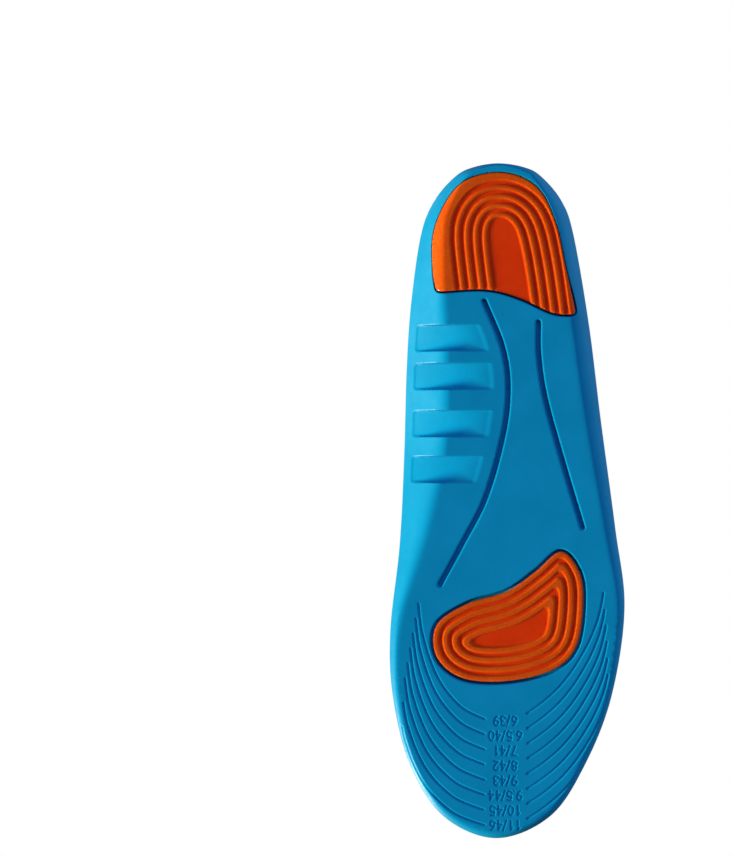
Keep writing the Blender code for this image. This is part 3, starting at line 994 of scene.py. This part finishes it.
def make_world():
    """White to the camera, and a dimmer white that lights the object."""
    world = bpy.data.worlds.new("studio")
    bpy.context.scene.world = world
    world.use_nodes = True
    tree = world.node_tree
    lit = tree.nodes["Background"]
    lit.inputs["Color"].default_value = (0.8, 0.9, 1, 1)
    lit.inputs["Strength"].default_value = 0.12
    seen = node(tree, "ShaderNodeBackground", {"Color": (1, 1, 1, 1), "Strength": 1.0})
    ray = node(tree, "ShaderNodeLightPath")
    mixed = node(tree, "ShaderNodeMixShader")
    tree.links.new(ray.outputs["Is Camera Ray"], mixed.inputs["Fac"])
    tree.links.new(lit.outputs["Background"], mixed.inputs[1])
    tree.links.new(seen.outputs["Background"], mixed.inputs[2])
    tree.links.new(mixed.outputs["Shader"], tree.nodes["World Output"].inputs["Surface"])


def make_floor():
    """A pale floor that only the camera sees, clear from below so that the sole shows through it."""
    material = bpy.data.materials.new("pale_floor")
    material.use_nodes = True
    tree = material.node_tree
    tree.nodes.clear()
    pale = node(tree, "ShaderNodeBsdfDiffuse", {"Color": (0.20, 0.20, 0.20, 1)})
    clear = node(tree, "ShaderNodeBsdfTransparent")
    side = node(tree, "ShaderNodeNewGeometry")
    mixed = node(tree, "ShaderNodeMixShader")
    output = node(tree, "ShaderNodeOutputMaterial")
    tree.links.new(side.outputs["Backfacing"], mixed.inputs["Fac"])
    tree.links.new(pale.outputs["BSDF"], mixed.inputs[1])
    tree.links.new(clear.outputs["BSDF"], mixed.inputs[2])
    tree.links.new(mixed.outputs["Shader"], output.inputs["Surface"])
    mesh = bpy.data.meshes.new("floor")
    reach = 6.0
    corners = [(-reach, -reach, 0), (reach, -reach, 0), (reach, reach, 0), (-reach, reach, 0)]
    mesh.from_pydata(corners, [], [(0, 1, 2, 3)])
    mesh.materials.append(material)
    floor = bpy.data.objects.new("floor", mesh)
    floor.location.z = -0.0002
    bpy.context.scene.collection.objects.link(floor)
    floor.visible_shadow = False
    floor.visible_diffuse = False
    floor.visible_glossy = False
    floor.visible_transmission = False
    floor.visible_volume_scatter = False
    light_floor(floor)


def light_floor(floor):
    """Lamps for the floor alone. It is dark itself, so that little of the lit sole shows in it."""
    only = bpy.data.collections.new("floor_only")
    only.objects.link(floor)
    lamps = (("floor_key", KEY_ABOVE, 0.75, 25), ("floor_fill", FILL_ABOVE, 0.4, 70))
    for name, towards, share, spread_angle in lamps:
        lamp = sun(name, towards, FLOOR_KEY * share, spread_angle)
        lamp.light_linking.receiver_collection = only


def make_camera():
    """Looking straight up at the sole, with the heel at the top of the picture."""
    data = bpy.data.cameras.new("camera")
    data.lens = CAMERA_LENS
    data.sensor_width = 36
    camera = bpy.data.objects.new("camera", data)
    camera.location = (*CAMERA_AT, -CAMERA_HEIGHT)
    camera.rotation_euler = (math.pi, 0, 0)
    bpy.context.scene.collection.objects.link(camera)
    bpy.context.scene.camera = camera


def make_stage():
    make_camera()
    make_world()
    make_floor()
    sun("key_below", KEY_BELOW, 7.5, 12, WARM, glossy=False)
    sun("shine", SHINE, 6.0, 24, diffuse=False)
    sun("side_below", SIDE_BELOW, 0.85, 50, SOFT, glossy=False)
    sun("fill_below", FILL_BELOW, 0.98, 50, COOL, glossy=False)
    sun("key_above", KEY_ABOVE, 2.8, 14, glossy=False)
    sun("fill_above", FILL_ABOVE, 0.9, 50, glossy=False)
    bpy.context.scene.view_settings.view_transform = "Standard"


def main():
    make_stage()
    gels = [
        gel_material("glossy_orange_gel", ((0.65, 0.075, 0.0022), (0.73, 0.092, 0.003)), (0.22, 0.32)),
        # The satin gel is rougher than the glossy one, and its darker, redder colour is painted shade for
        # the pads' troughs and windows.
        gel_material("satin_gel_painted_trough_shade", ((0.71, 0.032, 0.0003), (0.80, 0.044, 0.0005)), (0.40, 0.52)),
    ]
    make_foam(foam_material())
    make_heel_pad(gels)
    make_forefoot_pad(gels)
    make_cover(backing_material(), suede_material())
    finish_films(adhesive_material())


main()
